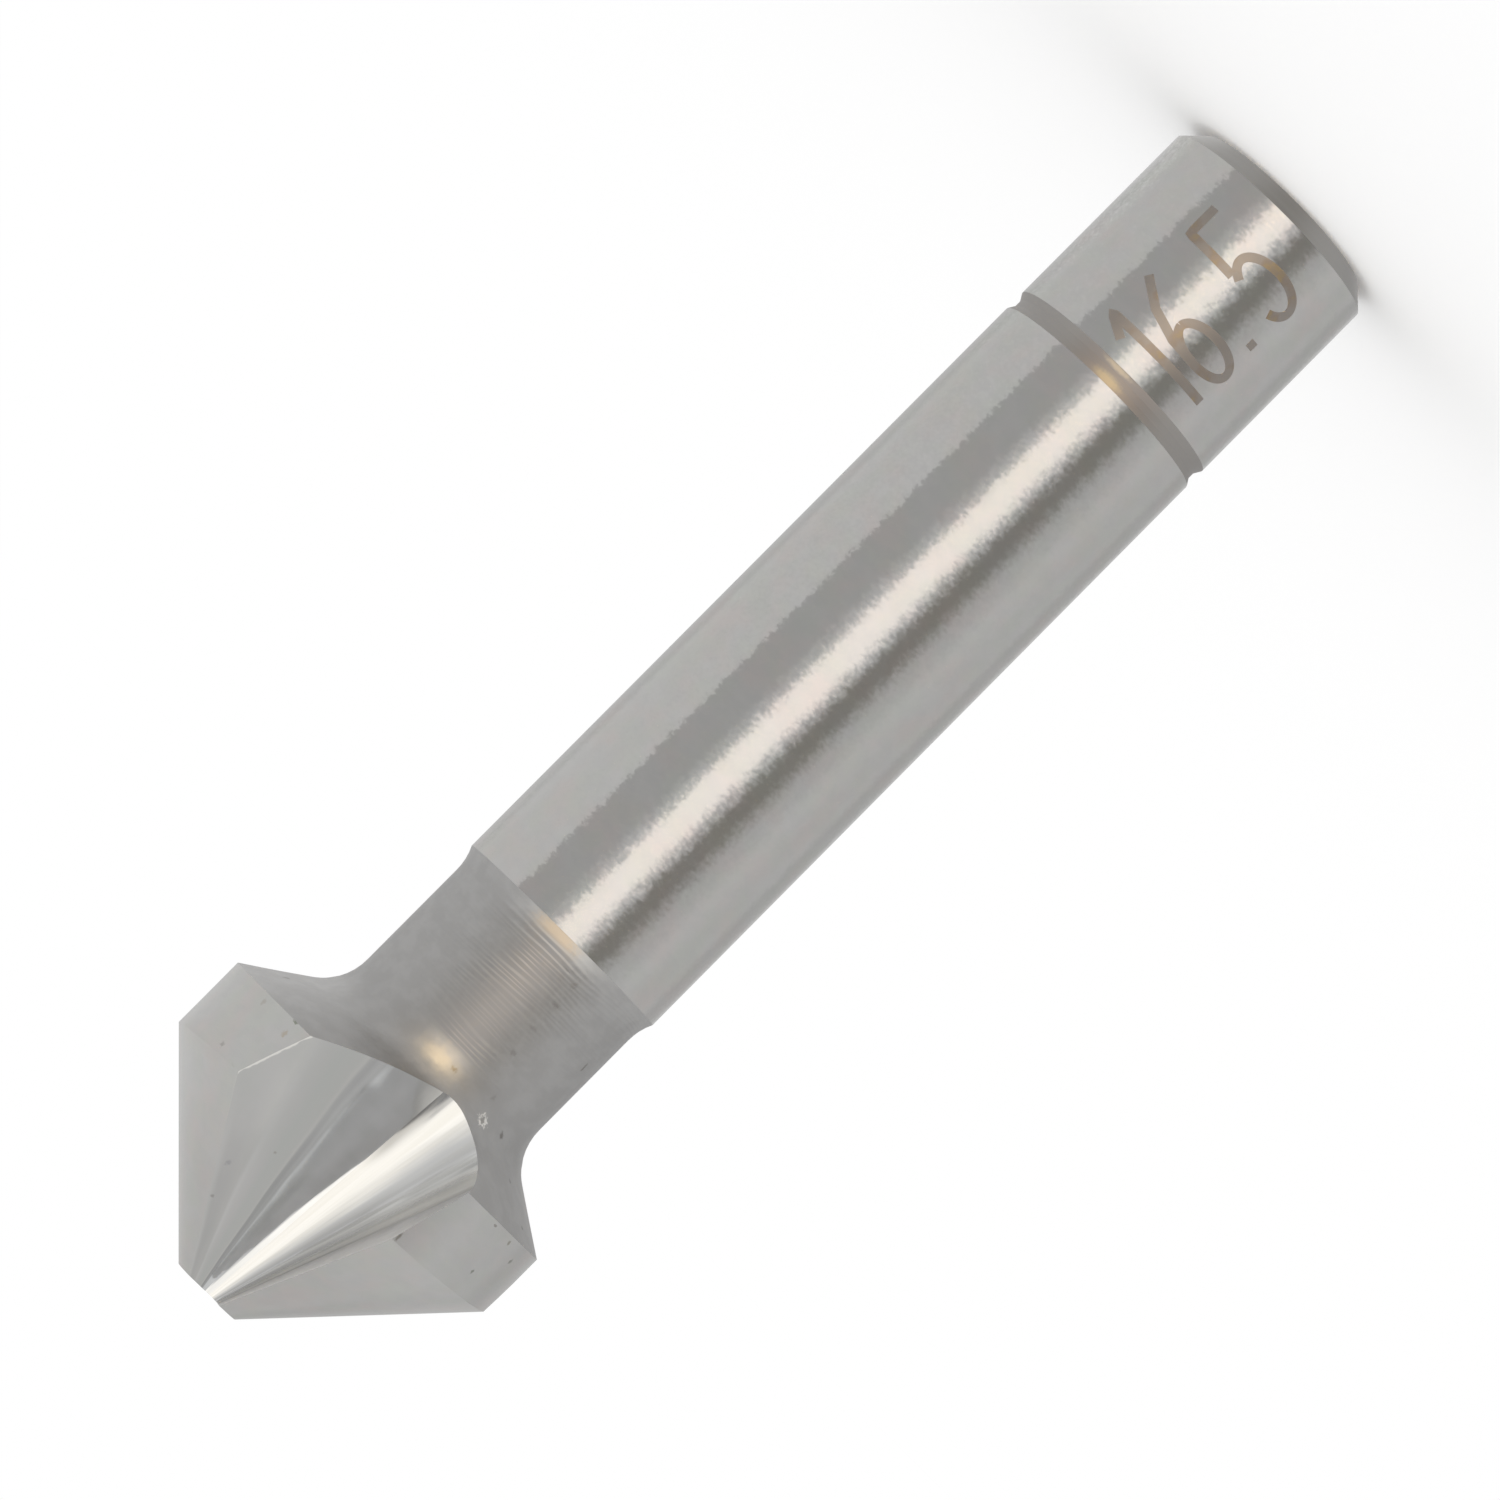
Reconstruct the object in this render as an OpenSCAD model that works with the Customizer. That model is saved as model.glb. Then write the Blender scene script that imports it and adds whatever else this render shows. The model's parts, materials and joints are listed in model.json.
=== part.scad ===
// Three-flute countersink bit with a plain round shank, ground from one blank.
// It stands on the end face of its shank with the tip up.
// The origin is the centre of that face, and +Z runs along the tool towards the tip.

/* [Overall] */
// Length from the shank's end face to the flat on the tip
overall_length = 60; // [50:0.5:75]
// Diameter across the cutting edges, which is the largest sink it cuts
head_diameter = 16.5; // [13.5:0.1:20]

/* [Cutting cone] */
// Included angle of the cutting cone
cone_angle = 90; // [75:1:110]
// Diameter of the small flat left on the tip
tip_diameter = 3.2; // [2.2:0.1:4.2]
// Length of the cylindrical margin behind the cutting cone
margin_length = 3.3; // [1.5:0.05:5]
// Tilt of each land's own cone, which drops its heel clear of the work
land_relief = 1.5; // [0.5:0.1:3]

/* [Flutes] */
// Number of flutes, each with one cutting edge
flute_count = 3; // [2:1:4]
// Direction of the first cutting edge, seen from the tip
first_edge = -115.5; // [-180:0.5:180]
// Part of the turn that each flute opens on the cone, from its cutting edge to the heel across it
flute_turn = 65; // [50:1:80]
// Lean of the rake face from the radius through its cutting edge
rake_angle = 16; // [0:0.5:20]
// Lean of the back of the flute from the radius through its heel
back_lean = 22; // [12:1:34]
// Half angle of the cone that rounds the bottom of the flute
gullet_angle = 9.7; // [4:0.1:14]

/* [Neck] */
// Distance from the rear edge of the margin to the full shank
neck_length = 9.7; // [8:0.1:14]
// Depth of the neck below the surface of the shank
neck_depth = 0.25; // [0.1:0.05:0.6]
// Angle between the back of the head and the tool's axis
back_angle = 56; // [40:1:70]
// Radius that runs the back of the head into the neck
back_fillet = 2.4; // [1:0.1:3]
// Radius that runs the neck out into the shank
shoulder_fillet = 2.4; // [1:0.1:4]

/* [Shank] */
// Diameter of the ground shank that the chuck grips
shank_diameter = 10; // [8:0.1:12]
// Chamfer at the end of the shank
end_chamfer = 0.8; // [0.2:0.05:1.5]
// Distance from the end face to the middle of the ring groove
groove_distance = 10; // [4:0.1:20]
// Width of the ring groove at the surface
groove_width = 0.9; // [0.4:0.05:2]
// Width of the ring groove at its floor
groove_floor = 0.3; // [0.1:0.05:0.35]
// Depth of the ring groove
groove_depth = 0.18; // [0.05:0.01:0.3]

/* [Hidden] */
$fn = 180;

steel = [0.66, 0.66, 0.65];

head_r = head_diameter / 2;
tip_r = tip_diameter / 2;
shank_r = shank_diameter / 2;
neck_r = shank_r - neck_depth;

// Every line of the cone and of the flutes aims at this point, just beyond the tip
half_angle = cone_angle / 2;
point_z = overall_length + tip_r / tan(half_angle);

// Heights of the edges along the outline
margin_front_z = point_z - head_r / tan(half_angle);
margin_rear_z = margin_front_z - margin_length;
shoulder_z = margin_rear_z - neck_length;

// A cutting circle bites this much past the line that it is tangent to, so the two surely meet
bite = 0.0005;
// How far cutting shapes reach past what they cut
spare = 1;

// Centre of the fillet behind the head: one radius from the neck and one from the back of the head
back_fillet_r = neck_r + back_fillet;
back_fillet_z = margin_rear_z
    - (back_fillet + (head_r - back_fillet_r) * cos(back_angle)) / sin(back_angle);
// Where that fillet leaves the back of the head
back_run_r = back_fillet_r - back_fillet * cos(back_angle);
back_run_z = back_fillet_z + back_fillet * sin(back_angle);

// Centre of the fillet at the shoulder: on the neck's side, and it rises just as far as the shank
shoulder_fillet_r = neck_r + shoulder_fillet;
shoulder_fillet_z = shoulder_z
    + sqrt(pow(shoulder_fillet, 2) - pow(shoulder_fillet - neck_depth, 2));

// Angles round the tool
pitch_angle = 360 / flute_count;
land_angle = pitch_angle - flute_turn;
heel = first_edge + flute_turn;
rake_line = first_edge + 180 + rake_angle;
back_line = heel + 180 + back_lean;

// A land's cone tilts towards this direction, ahead of its cutting edge, and still meets the edge
relief_lead = 45;
land_half_angle = half_angle - land_relief * cos(relief_lead);

// The cutting edge and the heel, one unit below the point
edge_line = [tan(half_angle) * cos(first_edge), tan(half_angle) * sin(first_edge), -1];
heel_line = [tan(half_angle) * cos(heel), tan(half_angle) * sin(heel), -1];

// Square to the rake face and to the back of the flute, out of the flute
rake_normal = unit(cross(level(rake_line), edge_line));
back_normal = unit(cross(heel_line, level(back_line)));

// The gullet's axis leaves the point at one gullet angle inside both faces
between = 1 + rake_normal * back_normal;
gullet_in = -sin(gullet_angle) / between;
gullet_down = sqrt(1 - 2 * between * pow(gullet_in, 2));
gullet_axis = gullet_in * (rake_normal + back_normal)
    + gullet_down * unit(cross(rake_normal, back_normal));

// The lines where the gullet runs into the two faces, and the plane through both
rake_run = gullet_axis + sin(gullet_angle) * rake_normal;
back_run = gullet_axis + sin(gullet_angle) * back_normal;
mouth_normal = unit(cross(rake_run, back_run));

// Cutting shapes that start at the point are long enough to pass the whole tool
reach = 2 * overall_length;

function unit(v) = v / norm(v);

// A direction square to the tool's axis
function level(angle) = [cos(angle), sin(angle), 0];

// Turns what lies along +Z to lie along a direction
module aim(direction) {
    rotate([0, acos(direction.z / norm(direction)), atan2(direction.y, direction.x)])
        children();
}

// All the space on one side of a plane through the origin
module side(normal) {
    aim(normal)
        translate([-reach, -reach, 0])
            cube([2 * reach, 2 * reach, reach]);
}

// Half of the turned outline, from the axis to the surface
module outline() {
    difference() {
        polygon([
            [0, 0],
            [shank_r - end_chamfer, 0],
            [shank_r, end_chamfer],
            [shank_r, shoulder_z],
            [shoulder_fillet_r, shoulder_fillet_z],
            [neck_r, shoulder_fillet_z],
            [neck_r, back_fillet_z],
            [back_fillet_r, back_fillet_z],
            [back_run_r, back_run_z],
            [head_r, margin_rear_z],
            [head_r, overall_length],
            [0, overall_length]
        ]);
        translate([shoulder_fillet_r, shoulder_fillet_z])
            circle(shoulder_fillet + bite);
        translate([back_fillet_r, back_fillet_z])
            circle(back_fillet + bite);
        groove();
    }
}

// Section of the ring groove, whose sloping walls run on past the surface
module groove() {
    foot = groove_floor / 2;
    slope = (groove_width / 2 - foot) / groove_depth;
    open = groove_width / 2 + slope * spare;
    translate([shank_r, groove_distance])
        polygon([
            [-groove_depth, -foot],
            [spare, -open],
            [spare, open],
            [-groove_depth, foot]
        ]);
}

// One land under its own tilted cone, with enough of the flutes beside it to join its neighbours
module land() {
    beside = 3 / 4 * flute_turn;
    intersection() {
        translate([0, 0, point_z])
            rotate([0, 0, first_edge + relief_lead])
                rotate([0, -land_relief, 0])
                    translate([0, 0, -reach])
                        cylinder(h = reach, r1 = reach * tan(land_half_angle), r2 = 0);
        rotate([0, 0, first_edge - land_angle - beside])
            translate([0, 0, -spare])
                rotate_extrude(angle = land_angle + 2 * beside)
                    square([head_r + spare, overall_length + 2 * spare]);
    }
}

// The space that one flute takes out of the head: a cone between two flat faces
module flute() {
    start = tip_r / 2;
    gullet = gullet_angle + bite;
    translate([0, 0, point_z]) {
        aim(gullet_axis)
            translate([0, 0, start])
                cylinder(h = reach - start, r1 = start * tan(gullet), r2 = reach * tan(gullet));
        intersection() {
            side(-rake_normal);
            side(-back_normal);
            side(mouth_normal);
        }
    }
}

// The whole tool: turned outline, relieved lands, then flutes
module countersink() {
    color(steel)
        difference() {
            intersection() {
                rotate_extrude()
                    outline();
                union() {
                    for (turn = [0 : flute_count - 1])
                        rotate([0, 0, turn * pitch_angle])
                            land();
                }
            }
            for (turn = [0 : flute_count - 1])
                rotate([0, 0, turn * pitch_angle])
                    flute();
        }
}

countersink();
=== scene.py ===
"""Looks of a three-flute countersink bit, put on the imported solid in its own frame.

The bit is one piece of tool steel, so its solid stays as packed and every ground or turned surface gets
its own finish here. Sizes are in millimetres until they meet Blender, which works in metres.
"""
from __future__ import annotations

import json
import logging
import math
from dataclasses import dataclass, field
from enum import Enum
from functools import cached_property
from typing import NamedTuple

import bpy
import numpy as np
from mathutils import Matrix, Vector


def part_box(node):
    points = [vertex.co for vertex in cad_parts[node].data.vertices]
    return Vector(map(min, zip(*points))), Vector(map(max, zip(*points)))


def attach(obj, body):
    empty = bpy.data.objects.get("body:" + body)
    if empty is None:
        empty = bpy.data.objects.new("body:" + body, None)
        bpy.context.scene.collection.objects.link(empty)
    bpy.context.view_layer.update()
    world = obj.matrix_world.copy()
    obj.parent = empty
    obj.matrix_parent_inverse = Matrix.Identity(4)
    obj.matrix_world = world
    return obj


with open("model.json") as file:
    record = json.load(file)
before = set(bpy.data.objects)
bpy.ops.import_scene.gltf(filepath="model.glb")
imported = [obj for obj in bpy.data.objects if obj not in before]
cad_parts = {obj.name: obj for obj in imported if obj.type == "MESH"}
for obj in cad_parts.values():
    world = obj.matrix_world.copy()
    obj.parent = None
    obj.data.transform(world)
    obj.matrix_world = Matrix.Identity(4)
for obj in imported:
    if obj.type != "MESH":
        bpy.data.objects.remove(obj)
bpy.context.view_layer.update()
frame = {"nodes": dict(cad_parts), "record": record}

log = logging.getLogger("countersink")

MM = 0.001
BIT = "countersink"
BODY = "root"

# Places of the Mix node's sockets when it mixes colours
SHARE, UNDER, OVER, MIXED = 0, 6, 7, 2

Socket = bpy.types.NodeSocket
# What goes into a node: another node's socket, or a value
Feed = Socket | float | tuple[float, ...]
# A unit vector, and the tangent of the normal's lean towards it
Lean = tuple[Socket, Feed]
# A colour laid over another: where it is, from 0 to 1, what it is and how it blends
Coat = tuple[Socket, tuple[float, ...], str]


def linear(code: str) -> tuple[float, float, float, float]:
    """Turns an sRGB hex colour into the linear one that Blender's sockets take.

    Args:
        code: the colour, such as "#ACAAA8".

    Returns:
        Linear red, green and blue, and an alpha of 1.
    """
    parts = [int(code[i : i + 2], 16) / 255 for i in (1, 3, 5)]
    red, green, blue = (c / 12.92 if c <= 0.04045 else ((c + 0.055) / 1.055) ** 2.4 for c in parts)
    return red, green, blue, 1.0


def unit(vector: Vector) -> Vector:
    """Returns the vector at a length of one."""
    return vector.normalized()


def level(angle: float) -> Vector:
    """Returns the direction square to the bit's axis at an angle in degrees."""
    return Vector((math.cos(math.radians(angle)), math.sin(math.radians(angle)), 0.0))


class Graph:
    """A node tree, and the one way that nodes get into it."""

    def __init__(self, tree: bpy.types.NodeTree) -> None:
        """Empties the tree.

        Args:
            tree: the node tree of a material or the world.
        """
        self.tree = tree
        tree.nodes.clear()

    def add(
        self, kind: str, inputs: dict[int | str, Feed] | tuple[Feed, ...] = (), operation: str = "",
        output: int | str = 0, **settings: object,
    ) -> Socket | None:
        """Adds a node, sets it up and links it.

        Args:
            kind: Blender's name for the node, without the ShaderNode that all of them start with.
            inputs: what goes into it, in the inputs' order or by their name or place.
            operation: which sum it does, if it does sums.
            output: the name or place of the output that is wanted.
            **settings: the node's own properties; stops are the places and colours of a ramp.

        Returns:
            The wanted output, if the node has any.
        """
        node = self.tree.nodes.new(f"ShaderNode{kind}")
        if operation:
            node.operation = operation
        for name, value in settings.items():
            if name == "stops":
                self._fill_ramp(node.color_ramp, value)
            else:
                setattr(node, name, value)
        for place, value in inputs.items() if isinstance(inputs, dict) else enumerate(inputs):
            if isinstance(value, Socket):
                self.tree.links.new(value, node.inputs[place])
            else:
                node.inputs[place].default_value = value
        return node.outputs[output] if node.outputs else None

    @staticmethod
    def _fill_ramp(ramp: bpy.types.ColorRamp, stops: list[tuple[float, tuple]]) -> None:
        """Sets a ramp's stops.

        Args:
            ramp: the ramp of a new node, which has two stops.
            stops: places from 0 to 1 with linear colours.
        """
        while len(ramp.elements) < len(stops):
            ramp.elements.new(1.0)
        for element, (place, colour) in zip(ramp.elements, stops):
            element.position = place
            element.color = colour


def new_material(name: str) -> tuple[bpy.types.Material, Graph]:
    """Makes an empty material.

    Args:
        name: the real material and how it was made.

    Returns:
        The material and its graph.
    """
    material = bpy.data.materials.new(name)
    material.use_nodes = True
    return material, Graph(material.node_tree)


def new_object(name: str, points: list, faces: list, material: bpy.types.Material) -> bpy.types.Object:
    """Makes a mesh and puts it into the scene.

    Args:
        name: the object's and the mesh's name.
        points: its points in metres.
        faces: for each face, the places of its points.
        material: what it is made of.

    Returns:
        The object.
    """
    mesh = bpy.data.meshes.new(name)
    mesh.from_pydata(points, [], faces)
    mesh.materials.append(material)
    thing = bpy.data.objects.new(name, mesh)
    bpy.context.scene.collection.objects.link(thing)
    return thing


class Fade(NamedTuple):
    """A smooth change from one amount to another across a span, beyond which the ends hold."""

    low: float
    high: float
    first: float = 0.0
    last: float = 1.0


@dataclass(frozen=True)
class BitSizes:
    """The bit's sizes in millimetres and degrees, as its construction has them."""

    length: float
    head_radius: float
    shank_radius: float
    tip_diameter: float = 3.2
    half_angle: float = 45.0
    margin_length: float = 3.3
    neck_length: float = 9.7
    back_fillet_height: float = 46.41
    end_chamfer: float = 0.8
    groove_distance: float = 10.0
    groove_width: float = 0.9
    flute_count: int = 3
    first_edge: float = -115.5
    flute_turn: float = 65.0
    rake_angle: float = 16.0
    back_lean: float = 22.0
    gullet_angle: float = 9.7

    @property
    def point(self) -> float:
        """Height of the point that every line of the cone and of the flutes aims at."""
        return self.length + self.tip_diameter / 2 / math.tan(math.radians(self.half_angle))

    @property
    def margin_front(self) -> float:
        """Height where the cone runs into the margin."""
        return self.point - self.head_radius / math.tan(math.radians(self.half_angle))

    @property
    def margin_rear(self) -> float:
        """Height of the margin's rear edge."""
        return self.margin_front - self.margin_length

    @property
    def shoulder(self) -> float:
        """Height where the full shank ends."""
        return self.margin_rear - self.neck_length

    @property
    def pitch(self) -> float:
        """Angle from one flute to the next."""
        return 360.0 / self.flute_count

    @property
    def flute_middle(self) -> float:
        """Angle halfway between the first flute's cutting edge and its heel."""
        return self.first_edge + self.flute_turn / 2

    def fan(self) -> dict[str, Vector]:
        """Works out the first flute's lines, which all start at the point.

        Returns:
            Directions along the cutting edge, the heel, the gullet's axis and the line where the gullet
            runs into the back, with the normals of the rake face and the back out of the steel.
        """
        slope = math.tan(math.radians(self.half_angle))
        down = Vector((0.0, 0.0, -1.0))
        edge = level(self.first_edge) * slope + down
        heel_turn = self.first_edge + self.flute_turn
        heel = level(heel_turn) * slope + down
        rake_normal = unit(level(self.first_edge + 180 + self.rake_angle).cross(edge))
        back_normal = unit(heel.cross(level(heel_turn + 180 + self.back_lean)))
        between = 1 + rake_normal.dot(back_normal)
        lean = math.sin(math.radians(self.gullet_angle))
        inward = -lean / between
        axis = inward * (rake_normal + back_normal)
        axis += math.sqrt(1 - 2 * between * inward**2) * unit(rake_normal.cross(back_normal))
        return {
            "edge": unit(edge),
            "heel": unit(heel),
            "axis": axis,
            "back_run": unit(axis + lean * back_normal),
            "rake_normal": -rake_normal,
            "back_normal": -back_normal,
        }


class Zone(Enum):
    """The surfaces of the bit that were made in different ways."""

    END_FACE = "faced_end"
    CHAMFER = "turned_chamfer"
    SHANK = "ground_shank"
    GROOVE = "turned_groove"
    NECK = "turned_neck"
    MARGIN = "ground_margin"
    LAND = "ground_land"
    BACK = "ground_flute_back"
    GULLET = "ground_gullet"
    RAKE = "ground_rake_face"
    TIP = "ground_tip"


class Lay(Enum):
    """Which way the fine lines of a finish run."""

    AROUND = "round the bit's axis"
    FAN = "out from the point"


class Place:
    """Where a point lies on the bit, as sockets of one material's graph, in millimetres and degrees."""

    def __init__(self, graph: Graph, sizes: BitSizes, lay: Lay, fan_start: str) -> None:
        """Adds the nodes that every finish needs.

        Args:
            graph: the material's graph.
            sizes: the bit's sizes.
            lay: which way the finish's fine lines run.
            fan_start: the line of the flute from which the fan's angles count.
        """
        self.add = graph.add
        self.sizes = sizes
        self.lay = lay
        self.fan_start = fan_start
        here = graph.add("TexCoord", output="Object")
        self.position = graph.add("VectorMath", {0: here, "Scale": 1 / MM}, "SCALE")
        self.normal = graph.add("NewGeometry", output="Normal")
        self.line = self._line()
        crossed = graph.add("VectorMath", (self.normal, self.line), "CROSS_PRODUCT")
        self.across = graph.add("VectorMath", (crossed,), "NORMALIZE")

    def _line(self) -> Socket:
        """Works out which way the finish's fine lines run.

        Returns:
            The unit vector along them.
        """
        if self.lay is Lay.AROUND:
            raw = self.add("VectorMath", ((0.0, 0.0, 1.0), self.position), "CROSS_PRODUCT")
        else:
            point = (0.0, 0.0, self.sizes.point)
            raw = self.add("VectorMath", (self.position, point), "SUBTRACT")
        return self.add("VectorMath", (raw,), "NORMALIZE")

    @cached_property
    def height(self) -> Socket:
        """Height above the end face."""
        return self.add("SeparateXYZ", (self.position,), output="Z")

    @cached_property
    def outward(self) -> Socket:
        """The vector straight out from the bit's axis."""
        return self.add("VectorMath", (self.position, (1.0, 1.0, 0.0)), "MULTIPLY")

    @cached_property
    def from_point(self) -> Socket:
        """Works out the way from the point, turned by whole pitches onto the first flute.

        Returns:
            The vector, in millimetres.
        """
        add, sizes = self.add, self.sizes
        pitch = math.radians(sizes.pitch)
        east = add("SeparateXYZ", (self.position,), output="X")
        north = add("SeparateXYZ", (self.position,), output="Y")
        turn = add("Math", (north, east), "ARCTAN2")
        past = add("Math", (turn, math.radians(sizes.flute_middle)), "SUBTRACT")
        pitches = add("Math", (past, pitch), "DIVIDE")
        whole = add("Math", (pitches,), "ROUND")
        back = add("Math", (whole, -pitch), "MULTIPLY")
        away = add("VectorMath", (self.position, (0.0, 0.0, sizes.point)), "SUBTRACT")
        return add("VectorRotate", {"Vector": away, "Angle": back}, rotation_type="Z_AXIS")

    @cached_property
    def reach(self) -> Socket:
        """Distance from the point."""
        return self.add("VectorMath", (self.from_point,), "LENGTH", "Value")

    @cached_property
    def fan_angle(self) -> Socket:
        """Angle across the flute from the line where its fan starts."""
        return self.angle_from(self.fan_start)

    @cached_property
    def ragged(self) -> Socket:
        """How far a fine noise pushes the edges of small marks in and out."""
        return self.noise(self.position, size=0.05, strength=2.5)

    def angle_from(self, name: str) -> Socket:
        """Works out the angle between the line through a point and a line of the first flute.

        Args:
            name: the flute's line, as the sizes' fan names it.

        Returns:
            The angle in degrees.
        """
        add = self.add
        along = add("VectorMath", (self.from_point,), "NORMALIZE")
        other = tuple(self.sizes.fan()[name])
        cosine = add("VectorMath", (along, other), "DOT_PRODUCT", "Value")
        angle = add("Math", (cosine,), "ARCCOSINE")
        return add("Math", (angle,), "DEGREES")

    def pattern(self, stretch: float) -> Socket:
        """Works out coordinates in which a noise comes out stretched along the fine lines.

        Args:
            stretch: how many times longer than wide the grains are.

        Returns:
            The coordinates.
        """
        add = self.add
        if self.lay is Lay.AROUND:
            shrink = (1 / stretch, 1 / stretch, 1.0)
            return add("VectorMath", (self.position, shrink), "MULTIPLY")
        # A fan's grains are as wide as they are halfway down the flute
        halfway = (self.sizes.point - self.sizes.margin_front) / 2
        angle = add("Math", (self.fan_angle,), "RADIANS")
        across = add("Math", (angle, halfway), "MULTIPLY")
        along = add("Math", (self.reach, stretch), "DIVIDE")
        return add("CombineXYZ", (across, along))

    def noise(
        self, where: Feed, size: float, strength: float = 1.0, detail: float = 2.0, shift: float = 0.0
    ) -> Socket:
        """Works out a noise from about -0.5 to 0.5.

        Args:
            where: the coordinates at which it is read.
            size: the grains' width in millimetres.
            strength: what the noise is multiplied by.
            detail: octaves of finer noise.
            shift: moves the pattern, so that two of them differ.

        Returns:
            The noise.
        """
        add = self.add
        moved = add("VectorMath", (where, (shift, shift, shift)), "ADD")
        # A noise of scale 1 has grains about half a unit wide
        value = add("TexNoise", {"Vector": moved, "Scale": 0.5 / size, "Detail": detail})
        even = add("Math", (value, 0.5), "SUBTRACT")
        return add("Math", (even, strength), "MULTIPLY")

    def faded(self, *fades: tuple[Fade, Feed]) -> Socket:
        """Works out one or more fades at once.

        Args:
            *fades: each with the value that crosses its span.

        Returns:
            The product of their amounts.
        """
        product = 1.0
        for fade, value in fades:
            amount = self.add("MapRange", (value, *fade), interpolation_type="SMOOTHSTEP")
            product = self.add("Math", (product, amount), "MULTIPLY")
        return product

    def tilted(self, leans: list[Lean]) -> Socket:
        """Works out the surface normal, leant by small amounts.

        Args:
            leans: the ways that it leans, and how much.

        Returns:
            The unit normal.
        """
        add = self.add
        normal = self.normal
        for direction, amount in leans:
            part = add("VectorMath", {0: direction, "Scale": amount}, "SCALE")
            normal = add("VectorMath", (normal, part), "ADD")
        return add("VectorMath", (normal,), "NORMALIZE")


@dataclass(frozen=True)
class Grain:
    """Fine scratches of a ground surface, which lean its normal this way and that.

    The noise has a spread of about a tenth each way, so a lean of 0.5 scatters normals by some 3 degrees.
    Real scratches are about a hundredth of a millimetre wide. That is too fine to show, so they are
    drawn several times coarser.
    """

    width: float
    stretch: float
    lean_across: float
    lean_along: float = 0.0

    def leans(self, place: Place, order: int) -> list[Lean]:
        """Works out how the scratches lean the normal.

        Args:
            place: where a point lies.
            order: the grain's place among the surface's grains, so that no two are alike.

        Returns:
            The leans.
        """
        # The shifts keep the noises of the two ways, and of all grains, apart
        ways = ((place.across, self.lean_across, 3.0), (place.line, self.lean_along, 11.0))
        return [
            (way, place.noise(place.pattern(self.stretch), self.width, lean, shift=first + order))
            for way, lean, first in ways
            if lean
        ]


@dataclass(frozen=True)
class Mottle:
    """Soft patches of slightly different grey, as oil film and handling leave on bare steel."""

    size: float
    stretch: float
    tint: str
    amount: float
    # Levels of the noise between which a patch comes in
    edge: tuple[float, float] = (-0.12, 0.16)

    def coat(self, place: Place, order: int) -> Coat:
        """Works out where the patches are.

        Args:
            place: where a point lies.
            order: the mottle's place among the surface's mottles, so that no two are alike.

        Returns:
            The patches' coat.
        """
        patch = place.noise(place.pattern(self.stretch), self.size, detail=3.0, shift=7.0 * order)
        share = place.faded((Fade(*self.edge, 0.0, self.amount), patch))
        return share, linear(self.tint), "MIX"


@dataclass(frozen=True)
class Spot:
    """A small dark pit or bright scuff at its own place, in millimetres, or a soft patch of painted
    highlight there.
    """

    centre: tuple[float, float, float]
    reach: tuple[float, float, float]
    tint: str = "#7F7C79"
    soft: float = 0.5
    ragged: float = 1.0

    def coat(self, place: Place) -> Coat:
        """Works out where the spot is.

        Args:
            place: where a point lies.

        Returns:
            The spot's coat.
        """
        add = place.add
        away = add("VectorMath", (place.position, self.centre), "SUBTRACT")
        away = add("VectorMath", (away, self.reach), "DIVIDE")
        far = add("VectorMath", (away,), "LENGTH", "Value")
        edge = add("Math", (place.ragged, self.ragged), "MULTIPLY")
        far = add("Math", (far, edge), "ADD")
        share = place.faded((Fade(1 - self.soft, 1 + self.soft, 1.0, 0.0), far))
        return share, linear(self.tint), "MIX"


@dataclass(frozen=True)
class SteelFinish:
    """Bare high-speed steel, with the marks of how one surface was made.

    Steel mirrors what is round it in a warm light grey. A finer finish gives crisp bands of light,
    and a coarser one a satin sheen drawn out across its lines.
    """

    zone: Zone
    roughness: float
    anisotropy: float
    colour: str = "#CAC9C7"
    lay: Lay = Lay.AROUND
    fan_start: str = "heel"
    grains: tuple[Grain, ...] = ()
    mottles: tuple[Mottle, ...] = ()
    spots: tuple[Spot, ...] = ()

    def build(self, sizes: BitSizes) -> bpy.types.Material:
        """Makes the material.

        Args:
            sizes: the bit's sizes.

        Returns:
            The material, named for the zone.
        """
        material, graph = new_material(f"tool_steel_{self.zone.value}")
        place = Place(graph, sizes, self.lay, self.fan_start)
        steel = {
            "Base Color": self._coloured(place),
            "Metallic": 1.0,
            "Roughness": self._satin(place),
            "Anisotropic": self.anisotropy,
            "Normal": place.tilted(self._leans(place)),
            "Tangent": place.across,
        }
        shader = graph.add("BsdfPrincipled", steel)
        graph.add("OutputMaterial", {"Surface": shader})
        return material

    def _coloured(self, place: Place) -> Feed:
        """Works out the base colour with all that lies over it.

        Args:
            place: where a point lies.

        Returns:
            The colour.
        """
        coats = [mottle.coat(place, order) for order, mottle in enumerate(self.mottles)]
        coats += [spot.coat(place) for spot in self.spots]
        colour = self._ground(place)
        for share, tint, blend in coats + self._coats(place):
            inputs = {SHARE: share, UNDER: colour, OVER: tint}
            colour = place.add("Mix", inputs, output=MIXED, data_type="RGBA", blend_type=blend)
        return colour

    def _ground(self, place: Place) -> Feed:
        """Returns the colour that the surface was made with."""
        return linear(self.colour)

    def _satin(self, place: Place) -> Feed:
        """Returns the roughness."""
        return self.roughness

    def _coats(self, place: Place) -> list[Coat]:
        """Returns the coats that only this surface has."""
        return []

    def _leans(self, place: Place) -> list[Lean]:
        """Returns how the surface leans the normal."""
        return [lean for order, grain in enumerate(self.grains) for lean in grain.leans(place, order)]


def darkened(share: Socket, left: float) -> Coat:
    """Makes the coat of a darker patch: painted shade on the flutes, and a plainly darker stretch on the
    lands.

    Args:
        share: where the patch is, from 0 to 1.
        left: how much of the light it leaves.

    Returns:
        The coat.
    """
    return share, (left, left, left, 1.0), "MULTIPLY"


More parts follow.
